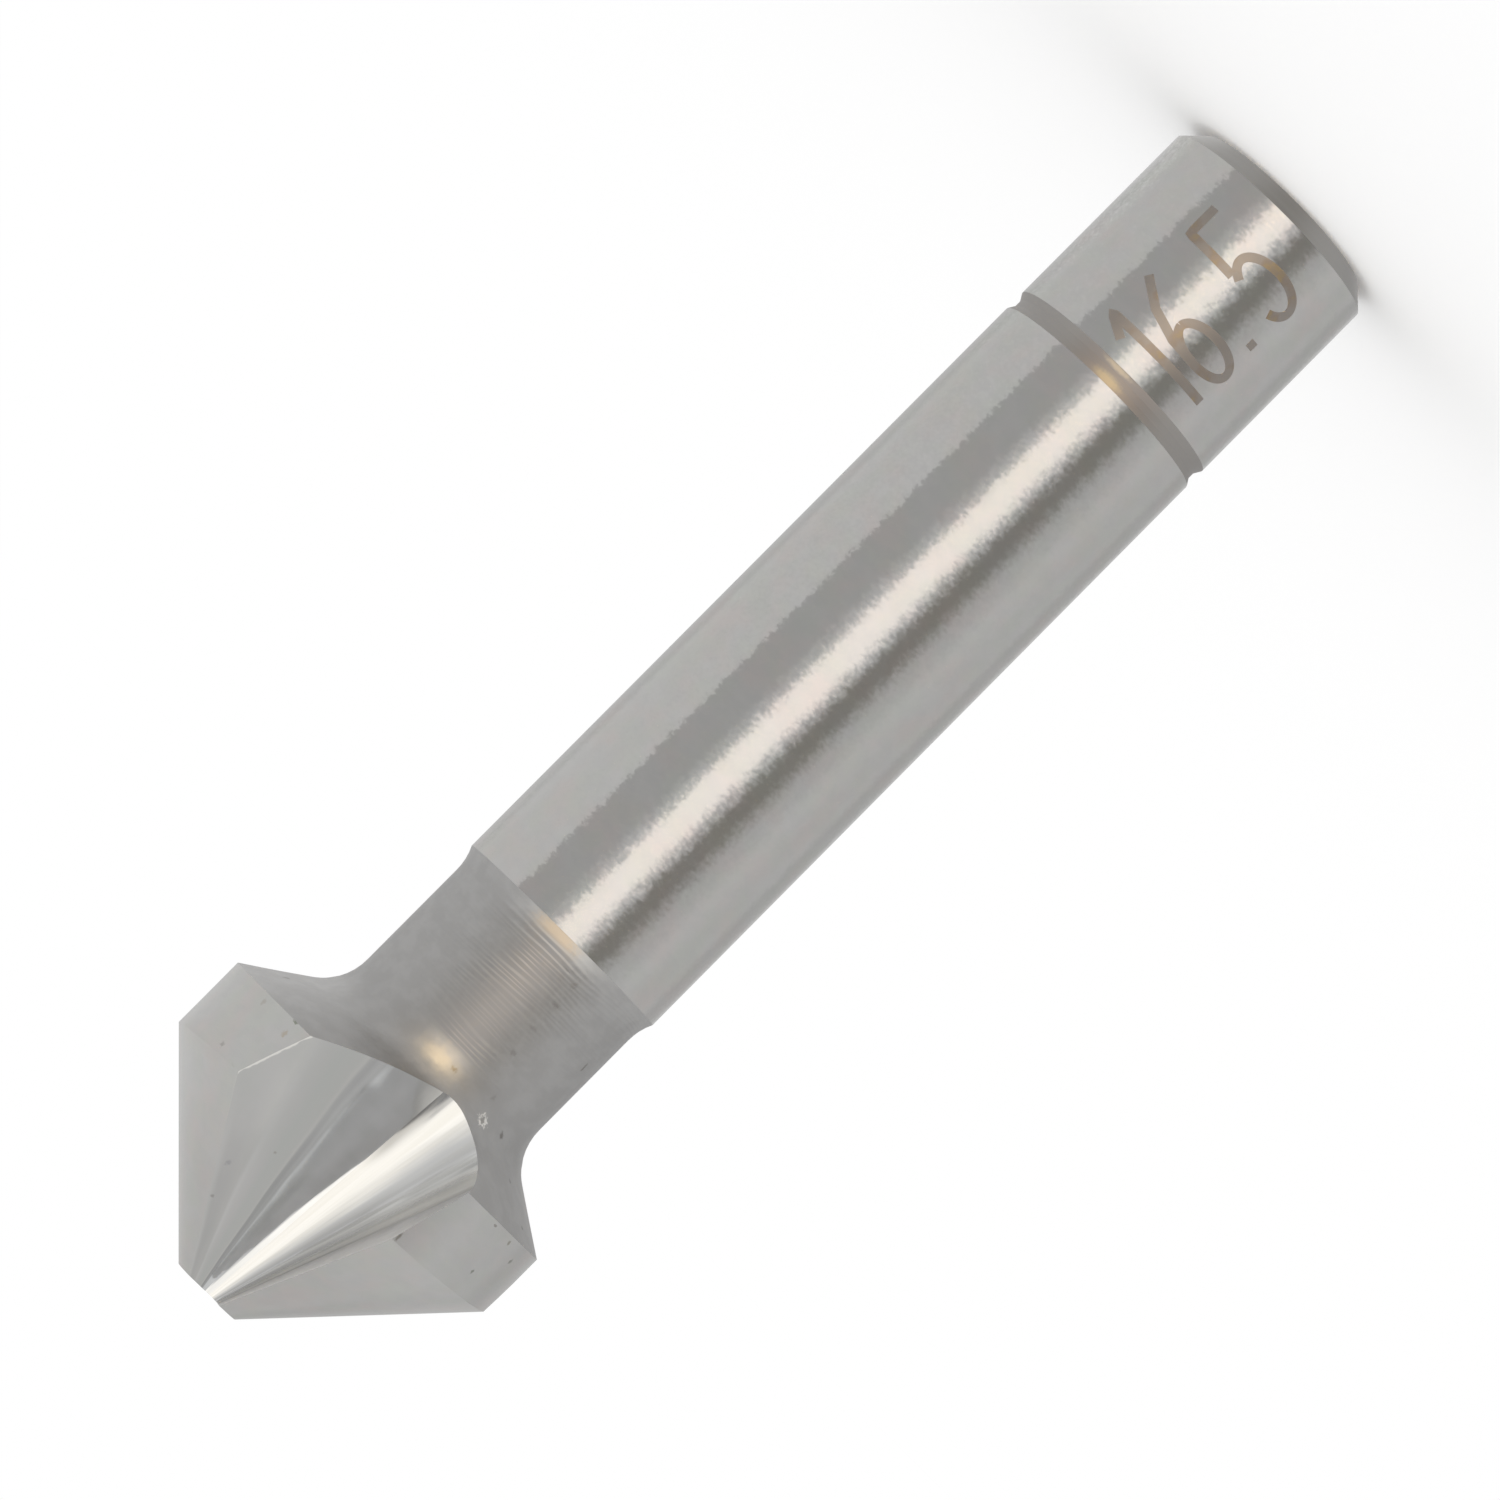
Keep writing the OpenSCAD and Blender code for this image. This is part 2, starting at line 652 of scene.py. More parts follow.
@dataclass(frozen=True)
class GrooveFinish(SteelFinish):
    """Ring groove cut with a narrow tool, whose corners are worn round."""

    # Lean out from the axis, strong enough to make the walls look much like the floor
    worn_round: float = 2.5

    def _leans(self, place: Place) -> list[Lean]:
        """Returns the grain's leans and the one of the worn corners."""
        outward = place.add("VectorMath", (place.outward,), "NORMALIZE")
        return super()._leans(place) + [(outward, self.worn_round)]


@dataclass(frozen=True)
class NeckFinish(SteelFinish):
    """Turned neck, with the tool's feed marks, painted shade over its front, and painted glints on the
    marks' crests there.

    The marks are deepest at the shoulder and patchy elsewhere. Their spacing is a little uneven.
    """

    # Spacing of the marks in millimetres, and how far they wander
    feed: float = 0.21
    unevenness: float = 0.8
    # Their lean, which runs out near the head, and how deep they are in patches and at the shoulder
    lean: Fade = Fade(45.4, 45.9, 0.08, 0.0)
    patch_size: float = 1.0
    patches: Fade = Fade(-0.1, 0.15, 0.2, 1.0)
    near_shoulder: Fade = Fade(41.2, 42.2, 1.0, 0.0)
    # Painted glints on the marks' crests, only within the painted shade over the front
    crest_glint: Fade = Fade(0.0, 1.0, 0.0, 0.45)
    crest_glint_colour: str = "#CBC5BD"
    # The painted shade over the front, which tones down the lamps' light there, fades out to both sides,
    # at its two ends and away from the front
    front_shade_colour: str = "#939394"
    front_shade_aside: Fade = Fade(0.1, 2.4, 1.0, 0.0)
    front_shade_top: Fade = Fade(46.2, 46.7, 1.0, 0.0)
    front_shade_foot: Fade = Fade(40.6, 41.0)
    front_shade_facing: Fade = Fade(0.0, 0.5)

    def _wave(self, place: Place) -> Socket:
        """Works out the feed marks as a wave.

        Args:
            place: where a point lies.

        Returns:
            The wave, from -1 to 1.
        """
        add = place.add
        # The spacing wanders along the neck, and hardly at all round it
        along = add("VectorMath", (place.position, (0.15, 0.15, 1.0)), "MULTIPLY")
        drift = place.noise(along, size=0.5, strength=self.unevenness)
        height = add("Math", (place.height, drift), "ADD")
        turn = add("Math", (height, 2 * math.pi / self.feed), "MULTIPLY")
        return add("Math", (turn,), "SINE")

    def _depth(self, place: Place) -> Socket:
        """Works out how deep the feed marks are.

        Args:
            place: where a point lies.

        Returns:
            The depth, from 0 to 1.
        """
        patch = place.noise(place.position, self.patch_size, detail=1.0)
        patchy = place.faded((self.patches, patch))
        shoulder = place.faded((self.near_shoulder, place.height))
        return place.add("Math", (patchy, shoulder), "MAXIMUM")

    def _front_shade(self, place: Place) -> Socket:
        """Works out where painted shade darkens the front of the neck, which faces the lamps.

        Args:
            place: where a point lies.

        Returns:
            The share, from 0 to 1.
        """
        add = place.add
        sideways = add("SeparateXYZ", (place.position,), output="X")
        aside = add("Math", (sideways,), "ABSOLUTE")
        facing = add("VectorMath", (place.normal, (0.0, -1.0, 0.0)), "DOT_PRODUCT", "Value")
        return place.faded(
            (self.front_shade_aside, aside), (self.front_shade_top, place.height),
            (self.front_shade_foot, place.height), (self.front_shade_facing, facing),
        )

    def _coats(self, place: Place) -> list[Coat]:
        """Adds the painted shade over the front, and painted glints on the marks' crests within it.

        Args:
            place: where a point lies.

        Returns:
            The coats.
        """
        add = place.add
        front_shade_share = self._front_shade(place)
        crest_glint = place.faded((self.crest_glint, self._wave(place)))
        crest_glint = add("Math", (crest_glint, self._depth(place)), "MULTIPLY")
        crest_glint = add("Math", (crest_glint, front_shade_share), "MULTIPLY")
        return [(front_shade_share, linear(self.front_shade_colour), "MIX"), (crest_glint, linear(self.crest_glint_colour), "MIX")]

    def _leans(self, place: Place) -> list[Lean]:
        """Adds the leans of the feed marks to the grain's.

        Args:
            place: where a point lies.

        Returns:
            The leans.
        """
        add = place.add
        marks = add("Math", (self._wave(place), self._depth(place)), "MULTIPLY")
        lean = add("Math", (marks, place.faded((self.lean, place.height))), "MULTIPLY")
        return super()._leans(place) + [(place.across, lean)]


@dataclass(frozen=True)
class LandFinish(SteelFinish):
    """Ground land, a little darker towards the point."""

    darker_near_point: Fade = Fade(53.5, 57.5)
    light_left: float = 0.93

    def _coats(self, place: Place) -> list[Coat]:
        """Returns the darker stretch near the point."""
        return [darkened(place.faded((self.darker_near_point, place.height)), self.light_left)]


@dataclass(frozen=True)
class FluteFinish(SteelFinish):
    """Surface that a grinding wheel left along a flute, with streaks that fan out from the point, whose
    greys are partly painted reflection.
    """

    lay: Lay = Lay.FAN
    streaks_and_reflections: tuple[tuple[float, str], ...] = ()
    # Degrees by which the streaks wander, and the stretch and width of the noise that moves them
    streak_wander: float = 0.0
    wander_stretch: float = 12.0
    wander_size: float = 0.35
    # Degrees by which they skew for each millimetre nearer to the point than this
    streak_skew: float = 0.0
    skew_from: float = 13.7
    # Near the point the flute gets painted shade
    shaded_near_point: Fade = Fade(6.5, 11.5, 1.0, 0.0)
    # Lean of the line where the back already curves into the gullet
    into_gullet: Fade = Fade(10.5, 13.8, 0.2, -0.02)

    def _streak_angle(self, place: Place) -> Socket:
        """Works out the angle that the streaks go by, which wanders a little along each of them.

        Args:
            place: where a point lies.

        Returns:
            The angle in degrees.
        """
        add = place.add
        along = place.pattern(self.wander_stretch)
        wander = place.noise(along, self.wander_size, self.streak_wander, detail=4.0)
        angle = add("Math", (place.fan_angle, wander), "ADD")
        short = add("Math", (self.skew_from, place.reach), "SUBTRACT")
        skew = add("Math", (short, self.streak_skew), "MULTIPLY")
        return add("Math", (angle, skew), "ADD")

    def _ground(self, place: Place) -> Feed:
        """Works out the colour with its streaks and painted reflection.

        Args:
            place: where a point lies.

        Returns:
            The colour, which is the plain one if there are no streaks.
        """
        if not self.streaks_and_reflections:
            return super()._ground(place)
        last = self.streaks_and_reflections[-1][0]
        stops = [(angle / last, linear(code)) for angle, code in self.streaks_and_reflections]
        share = place.add("Math", (self._streak_angle(place), last), "DIVIDE")
        return place.add("ValToRGB", {"Fac": share}, stops=stops)


@dataclass(frozen=True)
class GulletFinish(FluteFinish):
    """Round bottom of a flute, polished by chips on one side and satin on the other."""

    # Angles between which it turns satin, and how rough it is there
    satin_turns: tuple[float, float] = (12.0, 15.0)
    satin: float = 0.5
    # Painted shade, which darkens the lamps' reflections on the far side near the point and beside the
    # back at the rear
    far_side: Fade = Fade(7.0, 10.0)
    rear: Fade = Fade(9.8, 11.6)
    bright_side: Fade = Fade(0.4, 3.0, 1.0, 0.0)
    far_light: float = 0.86
    rear_light: float = 0.62
    # Angles over which the lean from the back runs out
    curved_in: Fade = Fade(0.0, 5.7, 1.0, 0.0)

    def _satin(self, place: Place) -> Socket:
        """Returns the roughness, which grows towards the rake face."""
        return place.faded((Fade(*self.satin_turns, self.roughness, self.satin), place.fan_angle))

    def _coats(self, place: Place) -> list[Coat]:
        """Adds the painted shade on the far side near the point and beside the back at the rear.

        Args:
            place: where a point lies.

        Returns:
            The coats.
        """
        far = place.faded((self.shaded_near_point, place.reach), (self.far_side, place.fan_angle))
        beside_back = place.faded((self.rear, place.reach), (self.bright_side, place.fan_angle))
        return [darkened(far, self.far_light), darkened(beside_back, self.rear_light)]

    def _leans(self, place: Place) -> list[Lean]:
        """Returns the grain's leans and the one that carries on from the back."""
        lean = place.faded((self.curved_in, place.fan_angle), (self.into_gullet, place.reach))
        return super()._leans(place) + [(place.across, lean)]


@dataclass(frozen=True)
class BackFinish(FluteFinish):
    """Back of a flute, which the wheel ground a little hollow, with a painted highlight along its heel at
    the margin.
    """

    # Painted highlight along the heel at the margin
    rim_width: float = 0.07
    rim_soft: float = 0.03
    rim_ragged: float = 0.2
    rim_share: float = 0.6
    rim_glint_colour: str = "#FFFDF6"
    # Two stretches of the fan with painted shade, which darkens their reflections
    upper_from: Fade = Fade(1.4, 4.0)
    upper_to: Fade = Fade(11.0, 13.0, 1.0, 0.0)
    lower_from: Fade = Fade(21.4, 22.2)
    lower_to: Fade = Fade(24.3, 25.5, 1.0, 0.0)
    light_left: float = 0.86
    # The hollow leans the face by a fixed tangent, and by one that grows towards the point
    hollow: float = -0.0345
    hollow_near_point: float = 0.171
    # At its rear edge the back leans further, so it still mirrors the rake face
    rear_lean: Fade = Fade(48.3, 49.8, -0.1, 0.0)
    # A narrow strip beside the gullet already curves up into it
    strip_width: Fade = Fade(6.0, 13.5, 0.45, 0.05)
    strip_edge: Fade = Fade(-0.25, 0.02, 1.0, 0.0)
    strip_worn: float = 0.15
    strip_stretch: float = 30.0

    def _rim_glint(self, place: Place) -> Socket:
        """Works out where the painted highlight runs along the heel at the margin.

        Args:
            place: where a point lies.

        Returns:
            The share, from 0 to 1.
        """
        add = place.add
        radius = add("VectorMath", (place.outward,), "LENGTH", "Value")
        worn = place.noise(place.position, size=0.2, strength=self.rim_ragged, detail=3.0)
        edge = place.sizes.head_radius - self.rim_width
        fade = Fade(edge - self.rim_soft, edge + self.rim_soft, 0.0, self.rim_share)
        return place.faded((fade, add("Math", (radius, worn), "ADD")))

    def _coats(self, place: Place) -> list[Coat]:
        """Adds the painted highlight along the heel and the painted shade of two stretches near the
        point.

        Args:
            place: where a point lies.

        Returns:
            The coats.
        """
        turn = self._streak_angle(place)
        near = (self.shaded_near_point, place.reach)
        upper = place.faded(near, (self.upper_from, place.fan_angle), (self.upper_to, turn))
        lower = place.faded(near, (self.lower_from, turn), (self.lower_to, turn))
        rim_glint = (self._rim_glint(place), linear(self.rim_glint_colour), "MIX")
        return [rim_glint, darkened(upper, self.light_left), darkened(lower, self.light_left)]

    def _plain_lean(self, place: Place) -> Socket:
        """Works out the lean of the hollow face, away from the strip beside the gullet.

        Args:
            place: where a point lies.

        Returns:
            The tangent of the lean.
        """
        grown = place.add("Math", (self.hollow_near_point, place.reach), "DIVIDE")
        plain = place.add("Math", (self.hollow, grown), "SUBTRACT")
        rear = place.faded((self.rear_lean, place.height))
        return place.add("Math", (plain, rear), "ADD")

    def _strip(self, place: Place) -> Socket:
        """Works out where the strip beside the gullet is.

        Args:
            place: where a point lies.

        Returns:
            The share, from 0 to 1.
        """
        add = place.add
        angle = add("Math", (place.angle_from("back_run"),), "RADIANS")
        gap = add("Math", (place.reach, angle), "MULTIPLY")
        worn = place.noise(place.pattern(self.strip_stretch), size=0.05, strength=self.strip_worn)
        gap = add("Math", (gap, worn), "ADD")
        width = place.faded((self.strip_width, place.reach))
        return place.faded((self.strip_edge, add("Math", (gap, width), "SUBTRACT")))

    def _leans(self, place: Place) -> list[Lean]:
        """Adds the lean of the hollow to the grain's.

        Args:
            place: where a point lies.

        Returns:
            The leans.
        """
        plain = self._plain_lean(place)
        curved = place.faded((self.into_gullet, place.reach))
        rise = place.add("Math", (curved, plain), "SUBTRACT")
        part = place.add("Math", (self._strip(place), rise), "MULTIPLY")
        lean = place.add("Math", (plain, part), "ADD")
        return super()._leans(place) + [(place.across, lean)]


@dataclass(frozen=True)
class CountersinkBit:
    """The bit's own solid, and the finishes of its surfaces."""

    node: bpy.types.Object
    sizes: BitSizes
    # Dot products above which two normals count as alike, as nearly alike, and as the same plane's
    flat: float = 0.999
    near: float = 0.985
    same: float = 0.9999
    # How far a line from the point may leave a flute's flat face
    off_plane: float = 0.01

    @classmethod
    def from_frame(cls, node: bpy.types.Object, record: dict) -> CountersinkBit:
        """Reads the sizes that the frame gives.

        Args:
            node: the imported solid.
            record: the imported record.

        Returns:
            The bit.
        """
        low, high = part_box(node.name)
        mounts = {m["name"]: m for m in record["mounts"]}
        sizes = BitSizes(
            length=(high.z - low.z) / MM,
            head_radius=high.x / MM,
            shank_radius=mounts["shank"]["dims"]["r_mm"],
        )
        return cls(node, sizes)

    def zone_at(self, centre: Vector, normal: Vector) -> Zone:
        """Says which surface a face belongs to.

        Args:
            centre: the face's middle, in millimetres.
            normal: its unit normal.

        Returns:
            The surface's zone.
        """
        sizes = self.sizes
        if normal.z < -self.flat and centre.z < sizes.end_chamfer / 2:
            return Zone.END_FACE
        if centre.z < sizes.end_chamfer:
            return Zone.CHAMFER
        if abs(centre.z - sizes.groove_distance) < sizes.groove_width / 2:
            return Zone.GROOVE
        if centre.z < sizes.shoulder:
            return Zone.SHANK
        if centre.z < sizes.back_fillet_height:
            return Zone.NECK
        if normal.z > self.flat:
            return Zone.TIP
        return self._head_zone(centre, normal)

    def _head_zone(self, centre: Vector, normal: Vector) -> Zone:
        """Says which of the head's surfaces a face belongs to.

        Args:
            centre: the face's middle, in millimetres.
            normal: its unit normal.

        Returns:
            The surface's zone.
        """
        sizes = self.sizes
        turn = math.degrees(math.atan2(centre.y, centre.x))
        half = math.radians(sizes.half_angle)
        cone = level(turn) * math.cos(half) + Vector((0.0, 0.0, math.sin(half)))
        if normal.dot(cone) > self.near:
            return Zone.LAND
        if normal.dot(level(turn)) > self.near and centre.z > sizes.margin_rear:
            return Zone.MARGIN
        steps = round((turn - sizes.flute_middle) / sizes.pitch)
        back = Matrix.Rotation(math.radians(-steps * sizes.pitch), 3, "Z")
        folded = back @ normal
        along = back @ unit(centre - Vector((0.0, 0.0, sizes.point)))
        fan = sizes.fan()
        for zone, face in ((Zone.BACK, fan["back_normal"]), (Zone.RAKE, fan["rake_normal"])):
            if folded.dot(face) > self.same and abs(along.dot(face)) < self.off_plane:
                return zone
        inward = unit(fan["axis"] - along * fan["axis"].dot(along))
        widest = math.radians(sizes.gullet_angle + 1)
        if folded.dot(inward) > self.near and along.angle(fan["axis"]) < widest:
            return Zone.GULLET
        return Zone.NECK

    def dress(self, finishes: list[SteelFinish]) -> None:
        """Gives each surface its finish.

        Args:
            finishes: one finish for each zone.
        """
        mesh = self.node.data
        mesh.materials.clear()
        places = {}
        for finish in finishes:
            places[finish.zone] = len(mesh.materials)
            mesh.materials.append(finish.build(self.sizes))
        counts = dict.fromkeys(Zone, 0)
        for face in mesh.polygons:
            zone = self.zone_at(face.center / MM, face.normal)
            face.material_index = places[zone]
            counts[zone] += 1
        for zone, count in counts.items():
            log.info("%s: %d faces", zone.value, count)


# Marks of wear and handling, about where the photographed bit has them, with a few patches of painted
# highlight among them
NECK_SPOTS = (
    # Straw tint and painted highlight in the shoulder's curve, which draws out the top lamp's reflection
    # there
    Spot((0.15, -4.85, 40.65), (0.95, 1.4, 0.75), "#C3B4A1", 0.6, ragged=0.3),
    Spot((-1.85, -4.37, 45.03), (0.12, 0.12, 0.1), "#9F9D9B", 0.8),
    Spot((-1.75, -4.42, 43.80), (0.18, 0.12, 0.1), "#A5A3A1", 0.8),
    Spot((-1.73, -4.42, 42.57), (0.16, 0.12, 0.1), "#A09E9C", 0.8),
    Spot((-1.70, -4.43, 41.50), (0.12, 0.12, 0.18), "#A5A3A1", 0.8),
    Spot((-2.55, -4.05, 46.80), (0.09, 0.09, 0.12), "#A3A19F", 0.8),
    Spot((-4.23, -2.15, 43.45), (0.06, 0.06, 0.2), "#8E8B88", 0.6),
    Spot((-3.80, -3.35, 47.61), (0.1, 0.1, 0.14), "#8B8885", 0.6),
    Spot((6.44, -2.46, 49.14), (0.1, 0.1, 0.12), "#8E8B88", 0.6),
    Spot((-0.69, -4.80, 47.08), (0.12, 0.1, 0.1), "#A09889", 0.8),
    Spot((-1.07, -4.63, 41.30), (0.16, 0.1, 0.04), "#8E8B88"),
    Spot((-5.27, -3.09, 48.61), (0.08, 0.08, 0.08), "#959290"),
    Spot((-6.90, -3.03, 49.57), (0.09, 0.09, 0.06), "#8E8B88"),
    Spot((-2.86, -4.26, 47.69), (0.23, 0.23, 0.26), "#F2F0EC", 0.3),
    Spot((-2.84, -4.26, 47.67), (0.14, 0.14, 0.15), "#A8A6A3", 0.3),
)
MARGIN_NICKS = (
    Spot((-3.68, -7.38, 53.12), (0.05, 0.1, 0.2), "#9A968F"),
    Spot((-7.40, -3.35, 53.12), (0.16, 0.32, 0.05), "#928F8B"),
    Spot((-6.67, -4.85, 52.10), (0.07, 0.07, 0.08), "#9DA098"),
    Spot((-7.47, -3.48, 50.81), (0.1, 0.1, 0.1), "#A0A199"),
    Spot((-6.91, -4.50, 50.34), (0.08, 0.08, 0.1), "#A6A39A"),
    Spot((-6.04, -5.62, 50.22), (0.08, 0.08, 0.05), "#A6A39E"),
    Spot((4.89, -6.64, 50.09), (0.12, 0.1, 0.05), "#9A9E93"),
    Spot((3.89, -7.01, 50.12), (0.14, 0.1, 0.06), "#86837F", 0.7),
    Spot((5.43, -6.13, 53.03), (0.09, 0.09, 0.12), "#BBB9B4"),
    Spot((4.89, -6.64, 50.70), (0.1, 0.1, 0.14), "#BFB8AD"),
    Spot((6.33, -5.29, 52.66), (0.1, 0.1, 0.1), "#B5B2AE"),
    Spot((6.34, -5.27, 50.40), (0.1, 0.1, 0.12), "#BDBAB4"),
)
BACK_NICKS = (
    Spot((2.95, -4.10, 55.75), (0.09, 0.09, 0.14), "#B5B4B4", 0.7),
    Spot((2.49, -3.26, 57.12), (0.06, 0.06, 0.06), "#A9A7A4", 0.7),
    Spot((1.95, -4.21, 54.21), (0.06, 0.06, 0.05), "#A9A7A2", 0.7),
)
# A darker patch across the groove's front, then two painted straw glints on its walls where the front
# lamp's band crosses them
GROOVE_TINTS_AND_GLINTS = (
    Spot((-0.1, -4.95, 10.0), (2.0, 1.5, 1.5), "#9F9996", 0.5, ragged=0.0),
    Spot((0.2, -4.95, 10.25), (0.6, 1.0, 0.22), "#BCB19D", 0.6, ragged=0.3),
    Spot((0.2, -4.95, 9.66), (0.6, 1.0, 0.1), "#C4B9A8", 0.6, ragged=0.3),
)
# Colours of the streaks at angles across the flute, from where its fan starts: partly the grinding's own
# greys and partly painted reflection, lighter and darker where the steel mirrors the lamps and the
# flute's other faces
BACK_STREAKS_AND_REFLECTIONS = (
    (0.0, "#C4C3C1"), (8.0, "#C4C3C1"), (11.0, "#C8C7C4"), (12.5, "#C5C4C2"),
    (14.0, "#C0BFBD"), (15.5, "#BDBCBA"), (17.5, "#B9BAB7"), (20.5, "#BABAB7"),
    (21.5, "#BFBEBB"), (22.1, "#AEAEAD"), (22.8, "#ACACAB"), (23.7, "#B7B7B6"),
    (24.2, "#B6B6B5"), (24.9, "#D1D2D2"), (29.5, "#DADBDB"), (33.0, "#D6D6D6"),
)
GULLET_STREAKS_AND_REFLECTIONS = (
    (0.0, "#CAC9C7"), (9.7, "#CCCCCB"), (10.3, "#E2E2E2"), (10.8, "#EAEAE9"), (11.4, "#E2E2E1"),
    (12.0, "#CBCBCA"), (12.6, "#CCCCCB"), (13.3, "#DFDFDE"), (14.4, "#EFEFED"),
    (15.2, "#EBEBEA"), (15.7, "#D6D6D6"), (16.4, "#C6C6C6"),
)


def steel_finishes() -> list[SteelFinish]:
    """Sets out the finish of every zone.

    Returns:
        The finishes.
    """
    pink = Mottle(size=0.9, stretch=1.0, tint="#CEC5C1", amount=0.5)
    green = Mottle(size=0.6, stretch=1.0, tint="#C6C9C1", amount=0.45)
    haze = Mottle(size=0.3, stretch=1.5, tint="#C2C2C1", amount=0.3)
    fine = Grain(width=0.08, stretch=1.5, lean_across=0.25, lean_along=0.12)
    turned = Grain(width=0.1, stretch=10.0, lean_across=0.3)
    return [
        # Ground bright, so it mirrors the lamps in long bands with slightly grained edges
        SteelFinish(
            Zone.SHANK, roughness=0.15, anisotropy=0.6,
            grains=(fine, Grain(width=0.25, stretch=1.0, lean_across=0.06, lean_along=0.06)),
            mottles=(pink, green, haze),
        ),
        # Turned and worn, so it is a dull grey line, darker across its front, with painted straw glints
        # where the front lamp's band crosses its walls
        GrooveFinish(
            Zone.GROOVE, roughness=0.55, anisotropy=0.3, colour="#ACA9A6", grains=(turned,),
            spots=GROOVE_TINTS_AND_GLINTS,
        ),
        # Turned and left so, which gives a soft grey sheen round the end
        SteelFinish(Zone.CHAMFER, roughness=0.4, anisotropy=0.3, colour="#A9A7A4", grains=(turned,)),
        # Faced by the same tool, with rings fine enough to give an even sheen
        SteelFinish(
            Zone.END_FACE, roughness=0.35, anisotropy=0.4, colour="#C0BEBB",
            grains=(Grain(width=0.1, stretch=10.0, lean_across=0.4),),
        ),
        # Turned with fine rings, so its light is broad and striped
        NeckFinish(
            Zone.NECK, roughness=0.44, anisotropy=0.2, colour="#B0AFAE", grains=(fine,),
            mottles=(haze,), spots=NECK_SPOTS,
        ),
        # Ground a little less finely than the shank, so the edges of its bands are softer
        SteelFinish(
            Zone.MARGIN, roughness=0.22, anisotropy=0.4,
            grains=(Grain(width=0.06, stretch=6.0, lean_across=0.12, lean_along=0.04),),
            mottles=(pink, green, haze), spots=MARGIN_NICKS,
        ),
        LandFinish(
            Zone.LAND, roughness=0.26, anisotropy=0.4,
            grains=(Grain(width=0.06, stretch=8.0, lean_across=0.1, lean_along=0.03),),
            mottles=(pink, green, haze),
        ),
        # Ground flat, and satin in every direction
        SteelFinish(Zone.TIP, roughness=0.25, anisotropy=0.0, mottles=(haze,)),
        # Ground by a fine wheel, so it nearly mirrors, in fans of slightly different greys that are
        # partly painted reflection
        BackFinish(
            Zone.BACK, roughness=0.1, anisotropy=0.5,
            grains=(Grain(width=0.06, stretch=40.0, lean_across=0.05),),
            streaks_and_reflections=BACK_STREAKS_AND_REFLECTIONS, streak_wander=2.5, streak_skew=0.3,
            mottles=(Mottle(size=0.4, stretch=5.0, tint="#B7B9B5", amount=0.35),),
            spots=BACK_NICKS,
        ),
        # Polished by chips, so it shows thin bright lines along its length, partly painted highlight in
        # its streaks' colours
        GulletFinish(
            Zone.GULLET, roughness=0.14, anisotropy=0.5, fan_start="back_run",
            grains=(
                Grain(width=0.04, stretch=60.0, lean_across=0.3),
                Grain(width=0.15, stretch=25.0, lean_across=0.15),
            ),
            streaks_and_reflections=GULLET_STREAKS_AND_REFLECTIONS,
            mottles=(Mottle(size=0.06, stretch=80.0, tint="#BDBBB5", amount=0.35),),
        ),
        # Ground by the wheel's flat side, which leaves an even satin, pale partly as painted light, so
        # the flutes' backs mirror it brighter
        FluteFinish(
            Zone.RAKE, roughness=0.5, anisotropy=0.3, colour="#D9D9DA", fan_start="edge",
            grains=(Grain(width=0.05, stretch=40.0, lean_across=0.3),),
            mottles=(haze,),
        ),
    ]


